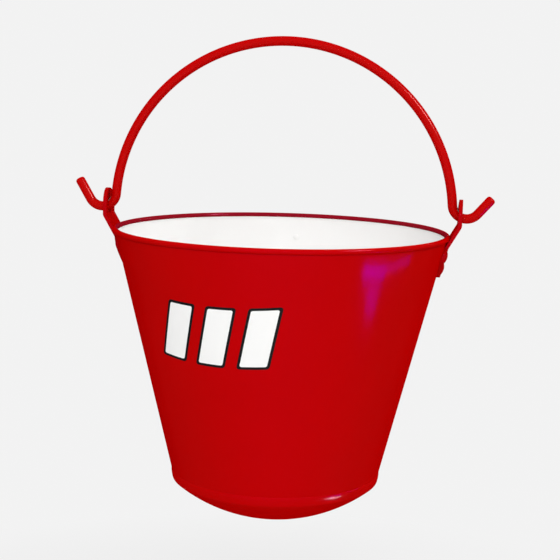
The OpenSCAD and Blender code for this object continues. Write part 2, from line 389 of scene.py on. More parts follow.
# %% Make the lap
LAP_W = 16.0 * MM
LAP_STEP_W = 4.0 * MM
LAP_SINK = 0.05 * MM
LAP_EDGE_SOFT = 0.25 * MM
lap_top_drop = WIRE_R + 3 * SHEET_T
lap_foot_drop = (RIM_Z - FOOT_Z) - (edge_h + SHEET_T / 2) * math.cos(WALL_LEAN)


def on_wall_line(drop, out):
    """The (radius, height) point at a depth below the rim and a distance out of the wall's face."""
    return RIM - WALL_UP * drop / math.cos(WALL_LEAN) + WALL_OUT * out


LAP_SWEEP = 20
LAP_COLUMNS = 40
lap_foot = on_wall_line(lap_foot_drop, -LAP_SINK)
lap_top = on_wall_line(lap_top_drop, -LAP_SINK)
seam_lap = trace("seam_lap", [lap_foot, lap_top])
seam_lap.rotation_euler = (0, 0, math.radians(90 - LAP_SWEEP / 2))
apply_place(seam_lap)
edit_all(seam_lap)
spin_on(LAP_COLUMNS, LAP_SWEEP)
slope_foot = -LAP_W / 2 - LAP_STEP_W
for x in (slope_foot, -LAP_W / 2, LAP_W / 2):
    select_all()
    bpy.ops.mesh.bisect(plane_co=(x, 0, 0), plane_no=(1, 0, 0), clear_inner=x == slope_foot,
                        clear_outer=x == LAP_W / 2)
leave_edit()
lap_face = seam_lap.data.polygons[0]
if lap_face.normal.y < 0:
    edit_all(seam_lap)
    bpy.ops.mesh.flip_normals()
    leave_edit()
report(seam_lap)

# %% Raise the lap and slope its one side
give_thickness(seam_lap, SHEET_T + LAP_SINK, offset=1)
edit(seam_lap)
SLOPE_NEAR = 0.1 * MM
SLOPE_SINK = 0.95 * SHEET_T


def on_slope_end(vertex):
    out = math.hypot(vertex.co.x, vertex.co.y) - wall_radius(RIM_Z - vertex.co.z)
    return vertex.co.x < slope_foot + SLOPE_NEAR and out > SHEET_T / 2


lowered = select_where(seam_lap, on_slope_end)
bpy.ops.transform.translate(value=(0, -SLOPE_SINK * WALL_OUT.x, -SLOPE_SINK * WALL_OUT.y))
leave_edit()
soften(seam_lap, LAP_EDGE_SOFT, segments=2, above=50)
smooth(seam_lap)
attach(seam_lap, "bucket")
print("vertices on the slope's end:", lowered)
report(seam_lap)

# %% [markdown]
# ## Rivets
# A cold-headed rivet has a low domed head with a short upright edge, a shank through the sheets, and a
# smaller hammered head inside. A squashed ball would have no edge to catch the light. One rivet of each
# size is traced and spun, and then copied to its places, each copy with its own mesh.

# %% Model one rivet of each size
RIVET_STEPS = 48
DOME_STEPS = 8
HEAD_EDGE = 0.3 * MM
HEAD_SEAT = 0.1 * MM
INNER_HEAD_LESS = 0.6 * MM
INNER_HEAD_H = 1.0 * MM


def dome_line(radius, height, base):
    """Half the section of a domed head that stands on the height base, from its top to its edge."""
    rise = height - HEAD_EDGE
    ball = (radius * radius + rise * rise) / (2 * rise)
    edge_angle = math.degrees(math.asin((ball - rise) / ball))
    dome = arc((0, base + height - ball), ball, 90, edge_angle, DOME_STEPS)
    return dome + [Vector((radius, base))]


def make_rivet(name, shank_r, head_r, head_h, above):
    """A rivet along +Z that holds the layers from z = -SHEET_T to z = above."""
    under = SHEET_T + HEAD_SEAT
    inner = dome_line(head_r - INNER_HEAD_LESS, INNER_HEAD_H, under)
    inner = [Vector((p.x, -p.y)) for p in reversed(inner)]
    shank = [Vector((shank_r, above)), Vector((shank_r, -under))]
    rivet = trace(name, dome_line(head_r, head_h, above) + shank + inner)
    turn_round(rivet, RIVET_STEPS)
    smooth(rivet)
    report(rivet)
    return rivet


SEAM_SHANK_R = 1.6 * MM
SEAM_HEAD_R = 3.4 * MM
SEAM_HEAD_H = 1.2 * MM
seam_pattern = make_rivet("seam_rivet_pattern", SEAM_SHANK_R, SEAM_HEAD_R, SEAM_HEAD_H, SHEET_T)

# %% Set the seam rivets
SEAM_RIVET_N = 6
SEAM_RIVET_INSET = 20.0 * MM


def set_rivet(pattern, name, turn, drop, node):
    """Copy a rivet to the wall, at a turn about the axis and a depth below the rim."""
    rivet = bpy.data.objects.new(name, pattern.data.copy())
    bpy.context.scene.collection.objects.link(rivet)
    rivet.matrix_world = (Matrix.Rotation(turn, 4, "Z")
                          @ Matrix.Translation((wall_radius(drop), 0, RIM_Z - drop))
                          @ Matrix.Rotation(math.pi / 2 + WALL_LEAN, 4, "Y"))
    apply_place(rivet)
    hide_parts(node)
    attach(rivet, "bucket")
    return rivet


wall_h = RIM_Z - FOOT_Z
seam_pitch = (wall_h - 2 * SEAM_RIVET_INSET) / (SEAM_RIVET_N - 1)
seam_rivets = []
for i in range(SEAM_RIVET_N):
    drop = SEAM_RIVET_INSET + i * seam_pitch
    rivet = set_rivet(seam_pattern, f"seam_rivet_{i + 1}", math.pi / 2, drop, "seam_rivets")
    seam_rivets.append(rivet)
bpy.data.objects.remove(seam_pattern)
print("seam rivets every", round(seam_pitch / MM, 1), "mm")

# %% [markdown]
# ## The ears
# An ear is a 3 mm plate, curved to the wall where it is riveted, bent out over the bead and upright at
# its eye. It could be cut from a flat plate and bent, but two bends and a curve at once are hard to
# keep true. So a band is spun from the bent section, gets its thickness, and is then cut to outline.

# %% Find the bends of the ear
EAR_T = 3.0 * MM
EYE_R = 15.0 * MM
EYE_FLAT = 0.5 * MM
NECK_GAP = 0.2 * MM
EAR_BEND_R = 4.0 * MM
LOBE_R = 8.0 * MM
EAR_RIVET_GAP = 22.0 * MM
UPPER_RIVET_DROP = 15.0 * MM
LOWER_RIVET_DROP = 26.0 * MM

ear_low, ear_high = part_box("ear_right")
HINGE_Z = ear_high.z - EYE_R
hole_edge = [math.hypot(v.co.y, v.co.z - HINGE_Z) for v in nodes["ear_right"].data.vertices]
HOLE_R = min(hole_edge)
eye_foot = Vector((ear_high.x - EAR_T / 2, HINGE_Z - HOLE_R - EYE_FLAT))
neck_way = BEAD - eye_foot
neck_turn = math.asin((WIRE_R + SHEET_T + NECK_GAP + EAR_T / 2) / neck_way.length)
neck_dir = (Matrix.Rotation(neck_turn, 2) @ neck_way).normalized()
plate_mid = RIM + WALL_OUT * EAR_T / 2
neck_foot = meet(eye_foot, neck_dir, plate_mid, WALL_UP)
ear_foot = plate_mid - WALL_UP * (LOWER_RIVET_DROP + LOBE_R + EAR_T) / math.cos(WALL_LEAN)
ear_top = Vector((eye_foot.x, HINGE_Z + EYE_R + EAR_T))
print("hinge at", round(HINGE_Z / MM, 2), "mm, hole radius", round(HOLE_R / MM, 2), "mm")

# %% Spin the band of the ear
BAND_SWEEP = 18
BAND_STEPS = 36
BEND_STEPS = 10
ear_line = ([ear_foot] + bend(ear_foot, neck_foot, eye_foot, EAR_BEND_R, BEND_STEPS)
            + bend(neck_foot, eye_foot, ear_top, EAR_BEND_R, BEND_STEPS) + [ear_top])
ear_right = trace("ear_plate_right", ear_line)
ear_right.rotation_euler = (0, 0, math.radians(-BAND_SWEEP / 2))
apply_place(ear_right)
edit_all(ear_right)
spin_on(BAND_STEPS, BAND_SWEEP)
leave_facing_out()
give_thickness(ear_right, EAR_T)
report(ear_right)

# %% Draw the ear's outline
LOWER_STEPS = 8
UPPER_STEPS = 18
EYE_STEPS = 20
lower = Vector((0, RIM_Z - LOWER_RIVET_DROP))
upper = Vector((EAR_RIVET_GAP / 2, RIM_Z - UPPER_RIVET_DROP))
side_angle = math.degrees(math.atan2(upper.y - lower.y, upper.x)) - 90
strap_angle = math.degrees(math.acos((EYE_R - EAR_RIVET_GAP / 2) / LOBE_R))
half = (arc(lower, LOBE_R, -90, side_angle, LOWER_STEPS)
        + arc(upper, LOBE_R, side_angle, strap_angle, UPPER_STEPS)
        + arc((0, HINGE_Z), EYE_R, 0, 90, EYE_STEPS))
outline = half + [Vector((-p.x, p.y)) for p in reversed(half[1:-1])]
print("the ear's outline has", len(outline), "points")

# %% Cut the ear to its outline
HOLE_SIDES = 64
HOLE_TOOL_L = 8 * EAR_T


def cut(piece, tool, operation):
    """Cut a piece with a tool shape, which is then thrown away."""
    finish_modifier(piece, "BOOLEAN", operation=operation, object=tool, solver="EXACT")
    bpy.data.objects.remove(tool)


outline_tool = trace("ear_outline", outline + outline[:1])
outline_tool.rotation_euler = (0, 0, math.pi / 2)
outline_tool.location = (ear_low.x - EAR_T, 0, 0)
apply_place(outline_tool)
edit_all(outline_tool)
bpy.ops.mesh.remove_doubles(threshold=WELD)
bpy.ops.mesh.edge_face_add()
through = (ear_high.x - ear_low.x + 2 * EAR_T, 0, 0)
bpy.ops.mesh.extrude_region_move(TRANSFORM_OT_translate={"value": through})
leave_facing_out()
cut(ear_right, outline_tool, "INTERSECT")
bpy.ops.mesh.primitive_cylinder_add(vertices=HOLE_SIDES, radius=HOLE_R, depth=HOLE_TOOL_L,
                                    location=(eye_foot.x, 0, HINGE_Z), rotation=(0, math.pi / 2, 0))
cut(ear_right, bpy.context.object, "DIFFERENCE")
report(ear_right)

# %% Round the ear's edges and copy it to the other side
EAR_EDGE_SOFT = 0.5 * MM
edit_all(ear_right)
bpy.ops.mesh.remove_doubles(threshold=WELD)
leave_edit()
soften(ear_right, EAR_EDGE_SOFT, segments=3, above=40)
smooth(ear_right)
pick(ear_right)
bpy.ops.object.duplicate()
ear_left = bpy.context.object
ear_left.name = "ear_plate_left"
ear_left.scale = (-1, 1, 1)
apply_place(ear_left)
edit(ear_left)
leave_facing_out()
for ear, node in ((ear_right, "ear_right"), (ear_left, "ear_left")):
    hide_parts(node)
    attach(ear, "bucket")
    report(ear)

# %% Set the ear rivets
EAR_SHANK_R = 2.2 * MM
EAR_HEAD_R = 4.5 * MM
EAR_HEAD_H = 1.3 * MM
ear_pattern = make_rivet("ear_rivet_pattern", EAR_SHANK_R, EAR_HEAD_R, EAR_HEAD_H, EAR_T)
upper_along = EAR_RIVET_GAP / 2
ear_places = ((-upper_along, UPPER_RIVET_DROP), (upper_along, UPPER_RIVET_DROP), (0, LOWER_RIVET_DROP))
ear_rivets = []
for side, base in (("right", 0), ("left", math.pi)):
    for i, (along, drop) in enumerate(ear_places):
        turn = base + math.asin(along / wall_radius(drop))
        rivet = set_rivet(ear_pattern, f"ear_rivet_{side}_{i + 1}", turn, drop, f"ear_rivets_{side}")
        ear_rivets.append(rivet)
bpy.data.objects.remove(ear_pattern)
print("ear rivets:", len(ear_rivets))

# %% [markdown]
# ## The bail
# The bail is one round rod, bent cold: a wide arch, a bend through each ear and a straight end that
# hooks up. A curve with a round bevel would do, but its ends would be flat. A circle is swept instead,
# along one stretch after the other, just as the rod is bent, and the cut ends are rounded off.

# %% Find the bends of the bail
ROD_R = 4.0 * MM
ARCH_OVER = 3.0 * MM
HOOK_R = 12.0 * MM
CROSS_SLOPE = math.radians(23)
LEFT_HOOK_ANGLE = 60
LEFT_HOOK_L = 20.0 * MM
RIGHT_HOOK_ANGLE = 49
RIGHT_HOOK_L = 18.0 * MM

arch_r = RIM_R + ARCH_OVER
arch_z = ROD_R - arch_r
hook_rise = HOOK_R * math.cos(CROSS_SLOPE)
leg_angle = math.asin((HINGE_Z - arch_z + hook_rise) / (arch_r + HOOK_R))
hook_x = (arch_r + HOOK_R) * math.cos(leg_angle)
hook_z = HINGE_Z + hook_rise
LEG = math.degrees(leg_angle)
print("the arch's legs end", round(LEG, 2), "degrees above its centre")

# %% Sweep the rod from its left end to its right end
ROD_SIDES = 32
HOOK_STEPS = 28
ARCH_STEPS = 144
FRONT = (0, -1, 0)


def way_at(degrees):
    """The way to the right that rises by an angle."""
    return Vector((math.cos(math.radians(degrees)), 0, math.sin(math.radians(degrees))))


left_way = way_at(-LEFT_HOOK_ANGLE)
left_bend_start = Vector((-hook_x, 0, hook_z)) + HOOK_R * Vector((left_way.z, 0, -left_way.x))
bpy.ops.object.select_all(action="DESELECT")
bpy.ops.mesh.primitive_circle_add(vertices=ROD_SIDES, radius=ROD_R,
                                  location=left_bend_start - left_way * LEFT_HOOK_L,
                                  rotation=(0, math.radians(90 + LEFT_HOOK_ANGLE), 0))
bail_rod = bpy.context.object
bail_rod.name = "bail_rod"
apply_place(bail_rod)
edit_all(bail_rod)
bpy.ops.mesh.edge_face_add()
bpy.ops.mesh.extrude_region_move(TRANSFORM_OT_translate={"value": left_way * LEFT_HOOK_L})
spin_on(HOOK_STEPS, 90 - LEG + LEFT_HOOK_ANGLE, (-hook_x, 0, hook_z), FRONT)
spin_on(ARCH_STEPS, -(180 - 2 * LEG), (0, 0, arch_z), FRONT)
spin_on(HOOK_STEPS, 90 - LEG + RIGHT_HOOK_ANGLE, (hook_x, 0, hook_z), FRONT)
right_hook = way_at(RIGHT_HOOK_ANGLE) * RIGHT_HOOK_L
bpy.ops.mesh.extrude_region_move(TRANSFORM_OT_translate={"value": right_hook})
leave_facing_out()
report(bail_rod)

# %% Round the cut ends of the rod
END_ROUND = 2.4 * MM
soften(bail_rod, END_ROUND, segments=4, above=60)
smooth(bail_rod)
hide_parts("bail")
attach(bail_rod, "bail")
report(bail_rod)

# %% [markdown]
# ## The mark
# A fire bucket carries a painted mark on its front, so that it is found and left in its place. Here it
# is a generic one, three plain white bars with a black edge. It could be a colour in the wall's
# material, but a sign painter's thick enamel stands proud and has crisp edges. So each bar is a film
# of paint: a flat bar, cut to shape, pressed onto the cone and given its thickness.

# %% Shape a flat bar
BAR_W = 21.0 * MM
BAR_H = 47.0 * MM
BAR_SLANT = 13.0 * MM
BAR_CORNER = 1.5 * MM
CUT_PITCH = 3.0 * MM


def flat_bar(name, along, grow):
    """A slanting bar at a distance along the mark, grown on each side and cut into small faces."""
    slant = math.atan(BAR_SLANT / BAR_H)
    width = BAR_W + 2 * grow / math.cos(slant)
    height = BAR_H + 2 * grow
    bpy.ops.object.select_all(action="DESELECT")
    bpy.ops.mesh.primitive_plane_add(size=1)
    bar = bpy.context.object
    bar.name = name
    bar.scale = (width, height, 1)
    apply_place(bar)
    edit(bar)
    select_where(bar, lambda v: v.co.y > 0)
    bpy.ops.transform.translate(value=(BAR_SLANT * height / BAR_H, 0, 0))
    select_all()
    bpy.ops.transform.translate(value=(along - BAR_SLANT * height / BAR_H / 2, 0, 0))
    bpy.ops.mesh.bevel(affect="VERTICES", offset=BAR_CORNER + grow / 2, segments=4)
    for way, span in ((Vector((1, 0, 0)), 2 * width), (Vector((0, 1, 0)), height)):
        cuts = math.ceil(span / CUT_PITCH)
        for i in range(1, cuts):
            select_all()
            bpy.ops.mesh.bisect(plane_co=way * (span * (i / cuts - 0.5) + way.x * along), plane_no=way)
    leave_edit()
    return bar


print("a bar is", round(BAR_W / MM), "mm wide and", round(BAR_H / MM), "mm high")

# %% Press a bar onto the cone
MARK_TURN = math.radians(-107.5)
MARK_DROP = 71.0 * MM
FILM_T = 0.1 * MM
PRESS_FROM = 12.0 * MM
mark_frame = (Matrix.Rotation(MARK_TURN, 4, "Z")
              @ Matrix.Translation((wall_radius(MARK_DROP), 0, RIM_Z - MARK_DROP))
              @ Matrix.Rotation(math.pi / 2, 4, "Z")
              @ Matrix.Rotation(math.pi / 2 + WALL_LEAN, 4, "X"))


def press_on_wall(bar, lift):
    """Lay a flat bar on the wall as a film of paint, lifted off its face."""
    bar.matrix_world = mark_frame @ Matrix.Translation((0, 0, PRESS_FROM))
    finish_modifier(bar, "SHRINKWRAP", target=wall_shell, wrap_method="PROJECT",
                    wrap_mode="ABOVE_SURFACE", offset=lift, use_project_z=True,
                    use_negative_direction=True, use_positive_direction=False)
    finish_modifier(bar, "SOLIDIFY", thickness=FILM_T, offset=1)
    apply_place(bar)
    smooth(bar)
    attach(bar, "bucket")
    report(bar)
    return bar


print("the mark is", round(MARK_DROP / MM), "mm below the rim")

# %% Make the three bars and their edges
BAR_PITCH = 35.0 * MM
BLACK_EDGE = 2.2 * MM
white_bars = []
black_bars = []
for i in range(3):
    along = (i - 1) * BAR_PITCH
    black_bars.append(press_on_wall(flat_bar(f"mark_edge_{i + 1}", along, BLACK_EDGE), 0.0))
    white_bars.append(press_on_wall(flat_bar(f"mark_bar_{i + 1}", along, 0.0), FILM_T / 2))

# %% [markdown]
# ## Enamel
# The bucket is brushed with thick gloss enamel. Close up such paint is never flat: it has faint brush
# lines, a soft orange peel, and patches where it lies thicker and darker. One node group makes all of
# that from a piece's own coordinates, so the red, the white and the black share the same hand.

# %% Helpers for nodes
def new_group(name, inputs, outputs):
    """A shader node group with named sockets, each given as name: (kind, default)."""
    group = bpy.data.node_groups.new(name, "ShaderNodeTree")
    for socket, (kind, default) in inputs.items():
        made = group.interface.new_socket(name=socket, in_out="INPUT", socket_type=kind)
        if default is not None:
            made.default_value = default
    for socket, kind in outputs.items():
        group.interface.new_socket(name=socket, in_out="OUTPUT", socket_type=kind)
    return group, group.nodes.new("NodeGroupInput"), group.nodes.new("NodeGroupOutput")


def node(tree, kind, settings=None, **inputs):
    """Add a node, with settings, and set or link its inputs.

    An input is given by its name, with _ for a space, or by its place in the row, as i0, i1, i2.
    """
    made = tree.nodes.new("ShaderNode" + kind)
    for name, value in (settings or {}).items():
        setattr(made, name, value)
    for name, value in inputs.items():
        by_place = name[0] == "i" and name[1:].isdigit()
        socket = made.inputs[int(name[1:]) if by_place else name.replace("_", " ")]
        if isinstance(value, bpy.types.NodeSocket):
            tree.links.new(value, socket)
        else:
            socket.default_value = value
    return made


def math_node(tree, operation, a, b=0.0, c=0.0):
    return node(tree, "Math", {"operation": operation}, i0=a, i1=b, i2=c).outputs[0]


print("helpers for nodes are ready")

# %% Helpers for patterns and places
def ramp(tree, value, start, end, low=0.0, high=1.0):
    """A value that goes from low, where the given one is start, to high, where it is end."""
    return node(tree, "MapRange", i0=value, i1=start, i2=end, i3=low, i4=high).outputs[0]


def noise(tree, place, scale, detail, roughness=0.5):
    """Soft noise from 0 to 1. scale is in blots per metre."""
    return node(tree, "TexNoise", Vector=place, Scale=scale, Detail=detail,
                Roughness=roughness).outputs["Fac"]


def distance(tree, place, point):
    apart = node(tree, "VectorMath", {"operation": "DISTANCE"}, i0=place, i1=point)
    return apart.outputs["Value"]


def radius_of(tree, place):
    """How far a point is from the bucket's axis."""
    flat = node(tree, "VectorMath", {"operation": "MULTIPLY"}, i0=place, i1=(1.0, 1.0, 0.0)).outputs[0]
    return node(tree, "VectorMath", {"operation": "LENGTH"}, i0=flat).outputs["Value"]


def height_of(tree, place):
    return node(tree, "SeparateXYZ", Vector=place).outputs["Z"]


print("helpers for patterns and places are ready")

# %% Sockets of the brushed enamel
brushed, brushed_in, brushed_out = new_group(
    "brushed_enamel",
    {"Place": ("NodeSocketVector", None), "Paint": ("NodeSocketColor", (1, 1, 1, 1)),
     "Shade spread": ("NodeSocketFloat", 0.04), "Gloss": ("NodeSocketFloat", 0.3),
     "Gloss spread": ("NodeSocketFloat", 0.06)},
    {"Color": "NodeSocketColor", "Roughness": "NodeSocketFloat", "Height": "NodeSocketFloat"})
print("group", brushed.name, "takes", len(brushed_in.outputs) - 1, "values")

# %% Patches, brush lines and peel
PATCH_SCALE = 14.0
LINE_SCALE = 420.0
LINE_STRETCH = 0.06
LINE_SHARE = 0.35
LINE_HEIGHT = 0.5
PEEL_SCALE = 260.0
place = brushed_in.outputs["Place"]
patches = noise(brushed, place, PATCH_SCALE, detail=3.0, roughness=0.55)
stretched = node(brushed, "Mapping", Vector=place, Scale=(1.0, 1.0, LINE_STRETCH)).outputs["Vector"]
lines = noise(brushed, stretched, LINE_SCALE, detail=2.0, roughness=0.6)
peel = noise(brushed, place, PEEL_SCALE, detail=1.0)
patch_part = math_node(brushed, "MULTIPLY", patches, 1.0 - LINE_SHARE)
mixed = math_node(brushed, "MULTIPLY_ADD", lines, LINE_SHARE, patch_part)
off_middle = math_node(brushed, "SUBTRACT", mixed, 0.5)
both_ways = math_node(brushed, "MULTIPLY", brushed_in.outputs["Shade spread"], 2.0)
value = math_node(brushed, "MULTIPLY_ADD", off_middle, both_ways, 1.0)
shade = node(brushed, "HueSaturation", Color=brushed_in.outputs["Paint"], Value=value)
brushed.links.new(shade.outputs["Color"], brushed_out.inputs["Color"])
patch_off_middle = math_node(brushed, "SUBTRACT", patches, 0.5)
gloss = math_node(brushed, "MULTIPLY_ADD", patch_off_middle, brushed_in.outputs["Gloss spread"],
                  brushed_in.outputs["Gloss"])
brushed.links.new(gloss, brushed_out.inputs["Roughness"])
height = math_node(brushed, "MULTIPLY_ADD", lines, LINE_HEIGHT, peel)
brushed.links.new(height, brushed_out.inputs["Height"])
print("group", brushed.name, "has", len(brushed.nodes), "nodes")

# %% [markdown]
# ## Red and white
# The wall and the bottom are red outside and white inside, and the brush left a slightly wavy line
# between the two, just under the rim bead. Two materials on two sets of faces would give a line as
# sharp as the mesh. So a mask tells inside from outside by the radius and the height of each point.
# A plain gloss shader also turns pale at a glancing angle, and thick old enamel doesn't. Layer Weight
# knows how much a face is turned away, and holds the gloss back there.

# %% A material of brushed enamel
RED = (0.479, 0.0, 0.0, 1.0)
WHITE = (0.88, 0.88, 0.87, 1.0)
WHITE_SPREAD = 0.03
RED_SHEEN = (1.0, 0.12, 0.35, 1.0)
SHEEN = 0.22
SHEEN_FALL = 6.0
BUMP_DEPTH = 0.04 * MM


def mix_color(tree, mask, below, above):
    """The colour below, and where the mask is 1 the colour above."""
    return node(tree, "Mix", {"data_type": "RGBA"}, i0=mask, i6=below, i7=above).outputs[2]


def new_enamel(name, paint, shade_spread=0.07, gloss=0.12, gloss_spread=0.05, bump=0.7, tint=None,
               inside=None, layers=()):
    """A material with the brushed enamel group.

    inside makes the mask of the white side. layers are pairs of a maker of a mask and the colour
    that shows where that mask is 1.
    """
    material = bpy.data.materials.new(name)
    material.use_nodes = True
    tree = material.node_tree
    shader = tree.nodes["Principled BSDF"]
    place = node(tree, "TexCoord").outputs["Object"]
    enamel = node(tree, "Group", {"node_tree": brushed}, Place=place, Paint=paint,
                  Shade_spread=shade_spread, Gloss=gloss, Gloss_spread=gloss_spread)
    color = enamel.outputs["Color"]
    if inside:
        white = node(tree, "Group", {"node_tree": brushed}, Place=place, Paint=WHITE,
                     Shade_spread=WHITE_SPREAD)
        color = mix_color(tree, inside(tree, place), color, white.outputs["Color"])
    for mask, other in layers:
        color = mix_color(tree, mask(tree, place), color, other)
    tree.links.new(color, shader.inputs["Base Color"])
    tree.links.new(enamel.outputs["Roughness"], shader.inputs["Roughness"])
    relief = node(tree, "Bump", Height=enamel.outputs["Height"], Strength=bump, Distance=BUMP_DEPTH)
    tree.links.new(relief.outputs["Normal"], shader.inputs["Normal"])
    facing = node(tree, "LayerWeight", Blend=0.5).outputs["Facing"]
    held_back = math_node(tree, "POWER", math_node(tree, "SUBTRACT", 1.0, facing), SHEEN_FALL)
    tree.links.new(math_node(tree, "MULTIPLY", held_back, SHEEN), shader.inputs["Specular IOR Level"])
    if tint:
        shader.inputs["Specular Tint"].default_value = tint
    return material


red_enamel = new_enamel("red_enamel", RED, tint=RED_SHEEN)
white_enamel = new_enamel("white_enamel", WHITE, shade_spread=0.02)
print("the plain red and the plain white are mixed")

# %% The wall, red outside and white inside
FACE_NEAR = 0.1 * MM
WAVE_SCALE = 60.0
WAVE_H = 0.8 * MM
BORDER_DROP = 0.9 * MM


def inside_wall(tree, place):
    """1 on the inner face of the wall, up to a wavy line just under the rim bead."""
    up = height_of(tree, place)
    inner_at_rim = RIM_R - SHEET_T / math.cos(WALL_LEAN) + FACE_NEAR
    over_rim = math_node(tree, "SUBTRACT", up, RIM_Z)
    line = math_node(tree, "MULTIPLY_ADD", over_rim, math.tan(WALL_LEAN), inner_at_rim)
    within = math_node(tree, "LESS_THAN", radius_of(tree, place), line)
    wave = noise(tree, place, WAVE_SCALE, detail=2.0)
    border = math_node(tree, "MULTIPLY_ADD", wave, WAVE_H, RIM_Z - BORDER_DROP)
    below = math_node(tree, "LESS_THAN", up, border)
    return math_node(tree, "MULTIPLY", within, below)


# The half of the bead that looks into the bucket is painted a deeper, cooler red, as painted shade.
BEAD_SHADE_RED = (0.26, 0.004, 0.012, 1.0)
BEAD_BELOW = 1.5 * MM
CREST_IN = 0.2 * MM
CREST_SOFT = 0.4 * MM


def painted_bead_shade(tree, place):
    """1 on the bead's half that looks into the bucket, for its painted shade, with a soft limit at its
    crest.
    """
    above = math_node(tree, "GREATER_THAN", height_of(tree, place), RIM_Z - BEAD_BELOW)
    crest = BEAD.x - CREST_IN
    within = ramp(tree, radius_of(tree, place), crest + CREST_SOFT, crest)
    return math_node(tree, "MULTIPLY", above, within)


wall_enamel = new_enamel("wall_enamel", RED, tint=RED_SHEEN, inside=inside_wall,
                         layers=[(painted_bead_shade, BEAD_SHADE_RED)])
print("the wall's white ends", round(BORDER_DROP / MM, 1), "mm under the middle of the bead, or higher")

# %% The bottom, red outside and white inside
JOINT_IN = 0.05 * MM


def inside_bottom(tree, place):
    """1 on the inner face of the dish, as far as the wall stands in it."""
    from_centre = distance(tree, place, (0.0, 0.0, dish_centre.y))
    within = math_node(tree, "LESS_THAN", from_centre, dish_r - SHEET_T / 2)
    under_wall = math_node(tree, "LESS_THAN", radius_of(tree, place), FOOT_R - JOINT_IN)
    return math_node(tree, "MULTIPLY", within, under_wall)


bottom_enamel = new_enamel("bottom_enamel", RED, tint=RED_SHEEN, inside=inside_bottom)
print("the bottom's white ends", round((FOOT_R - JOINT_IN) / MM, 2), "mm from the axis")

# %% [markdown]
# ## Fittings, bail and mark
# The ears and their rivets get a darker copy of the red, as painted shade that sets them off from the
# wall. The rod is smooth, and its gloss is paler. Where it bears on the ears it has rubbed through to
# the steel. Such wear could be painted by hand, but here its place is known: it fades with the distance
# from the point where rod and hole meet, and a fine noise breaks it up into flecks.

# %% Red of the ears and the rod
# The darker red of the ears and their rivets is painted shade.
FITTINGS_SHADE_RED = (0.41, 0.0, 0.0, 1.0)
CREAM_SHEEN = (1.0, 0.32, 0.30, 1.0)
BARE_STEEL = (0.20, 0.17, 0.16, 1.0)
RUB_REACH = 8.0 * MM
FLECK_SCALE = 900.0
RUB_LIMIT = 1.05


def rubbed_eye(tree, place):
    """1 on small worn spots of the rod, where it bears on the holes of the ears."""
    folded = node(tree, "VectorMath", {"operation": "ABSOLUTE"}, i0=place).outputs[0]
    bearing = (ear_high.x - EAR_T / 2, 0.0, abs(HINGE_Z + HOLE_R))
    near = ramp(tree, distance(tree, folded, bearing), RUB_REACH, 0.0)
    flecks = noise(tree, place, FLECK_SCALE, detail=3.0)
    return math_node(tree, "GREATER_THAN", math_node(tree, "ADD", near, flecks), RUB_LIMIT)


fittings_enamel = new_enamel("fittings_enamel", FITTINGS_SHADE_RED, tint=RED_SHEEN)
bail_enamel = new_enamel("bail_enamel", RED, shade_spread=0.05, gloss=0.2, bump=0.02, tint=CREAM_SHEEN,
                         layers=[(rubbed_eye, BARE_STEEL)])
print("the rod is rubbed up to", round(RUB_REACH / MM), "mm from where it bears")

# %% White and black of the mark
MARK_WHITE = (0.92, 0.92, 0.91, 1.0)
MARK_BLACK = (0.006, 0.006, 0.007, 1.0)
mark_white = new_enamel("mark_white", MARK_WHITE, shade_spread=0.02)
mark_black = new_enamel("mark_black", MARK_BLACK, shade_spread=0.2)
print("enamels:", len([m for m in bpy.data.materials if m.name.endswith(("enamel", "white", "black"))]))

# %% [markdown]
# ## Bare wire
# The wire in the rim is drawn steel and has no paint, because the rolled edge seals it in. It could do
# without a finish, since nobody sees it. But the part may be taken apart, so it gets a plain metal with
# a fine grain in its tone.

# %% Steel of the wire
GRAIN_SCALE = 900.0
DARK_STEEL = (0.25, 0.25, 0.26, 1)
PALE_STEEL = (0.42, 0.42, 0.43, 1)
STEEL_ROUGHNESS = 0.4
steel = bpy.data.materials.new("drawn_steel_wire")
steel.use_nodes = True
steel_shader = steel.node_tree.nodes["Principled BSDF"]
steel_place = node(steel.node_tree, "TexCoord").outputs["Object"]
grain = noise(steel.node_tree, steel_place, GRAIN_SCALE, detail=3.0)
tone = node(steel.node_tree, "ValToRGB", Fac=grain)
tone.color_ramp.elements[0].color = DARK_STEEL
tone.color_ramp.elements[1].color = PALE_STEEL
steel.node_tree.links.new(tone.outputs["Color"], steel_shader.inputs["Base Color"])
steel_shader.inputs["Metallic"].default_value = 1.0
steel_shader.inputs["Roughness"].default_value = STEEL_ROUGHNESS
print("materials:", len(bpy.data.materials))

# %% [markdown]
# ## Coats
# Each piece now gets its material. Away from the border between red and white no mask is needed. So
# the inner faces of the wall and the bottom that lie well within, and the inner heads of the rivets,
# get the plain white as a second material.

# %% Helpers for painting
def paint(piece, material):
    piece.data.materials.clear()
    piece.data.materials.append(material)


def paint_inside(piece, test):
    """Give the faces that pass a test the white enamel, as a second material."""
    piece.data.materials.append(white_enamel)
    chosen = [face for face in piece.data.polygons if test(face)]
    for face in chosen:
        face.material_index = 1
    print(piece.name, "has", len(chosen), "white faces")


def faces_in(face):
    """How far a face looks towards the bucket's axis."""
    return -(face.normal.x * face.center.x + face.normal.y * face.center.y)


print("helpers for painting are ready")

# %% Give the sheets their finish
BORDER_ROOM = 6.0 * MM
FACES_UP = 0.2
for name in nodes:
    paint(nodes[name], red_enamel)
paint(nodes["rim_wire"], steel)
paint(wall_shell, wall_enamel)
paint(bottom_shell, bottom_enamel)
paint(seam_lap, red_enamel)


def well_inside_wall(face):
    return faces_in(face) > 0 and face.center.z < RIM_Z - BORDER_ROOM


def well_inside_bottom(face):
    return face.normal.z > FACES_UP and face.center.xy.length < FOOT_R - BORDER_ROOM


paint_inside(wall_shell, well_inside_wall)
paint_inside(bottom_shell, well_inside_bottom)

# %% Give the fittings and the mark their finish
INNER_NEAR = 0.9 * SHEET_T


def within_wall(face):
    return face.center.xy.length < wall_radius(RIM_Z - face.center.z) - INNER_NEAR


